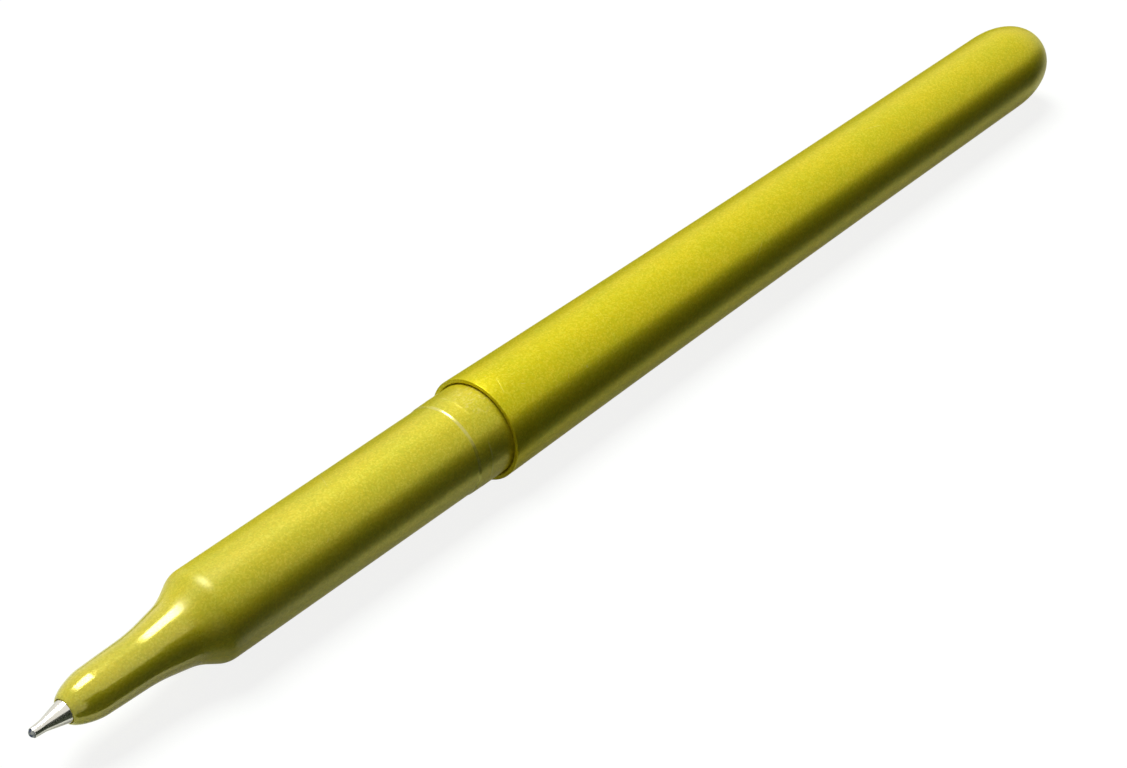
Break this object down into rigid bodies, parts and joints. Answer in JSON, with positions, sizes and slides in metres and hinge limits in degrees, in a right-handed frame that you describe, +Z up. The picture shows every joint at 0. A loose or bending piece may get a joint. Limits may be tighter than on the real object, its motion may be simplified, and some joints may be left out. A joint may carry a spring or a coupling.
{
  "type": "detectable ballpoint pen",
  "caption": "Slim telescopic ballpoint pen with a necked front sleeve, a thin-lipped domed rear barrel that slides and turns on it, and an ink refill with a rolling ball.",
  "frame": {"origin": "on the surface that the pen lies on, halfway along the pen and straight below its axis", "axes": "+X along the pen's axis from the writing point to the domed end, +Z up, the axis 5 mm above the surface"},
  "size_m": [0.1474, 0.01, 0.01],
  "materials": {
    "barrel_plastic": "satin moulded olive-yellow plastic with a fine pearly fleck of metal filler",
    "sleeve_plastic": "satin moulded olive-yellow plastic, polished on the nose and neck",
    "point_metal": "turned and polished nickel silver",
    "ball_metal": "polished tungsten carbide, wet with ink",
    "holder_plastic": "natural white plastic",
    "tube_plastic": "translucent extruded plastic",
    "ink": "blue ballpoint ink",
    "grease": "pale follower grease"
  },
  "bodies": {
    "barrel": {"rear_barrel": "barrel_plastic"},
    "refill": {"writing_point": "point_metal", "tip_holder": "holder_plastic", "refill_tube": "tube_plastic", "ink_column": "ink", "follower_grease": "grease"},
    "sleeve": {"front_sleeve": "sleeve_plastic"},
    "ball": {"point_ball": "ball_metal"}
  },
  "joints": [
    {"name": "sleeve_turn", "type": "hinge", "parent": "barrel", "child": "refill", "pos_m": [0, 0, 0.005], "axis": [1, 0, 0], "continuous": true},
    {"name": "retract_slide", "type": "slide", "parent": "refill", "child": "sleeve", "axis": [-1, 0, 0], "range_m": [0, 0.006]},
    {"name": "ball_roll", "type": "hinge", "parent": "refill", "child": "ball", "pos_m": [-0.07335, 0, 0.005], "axis": [0, 1, 0], "continuous": true}
  ]
}
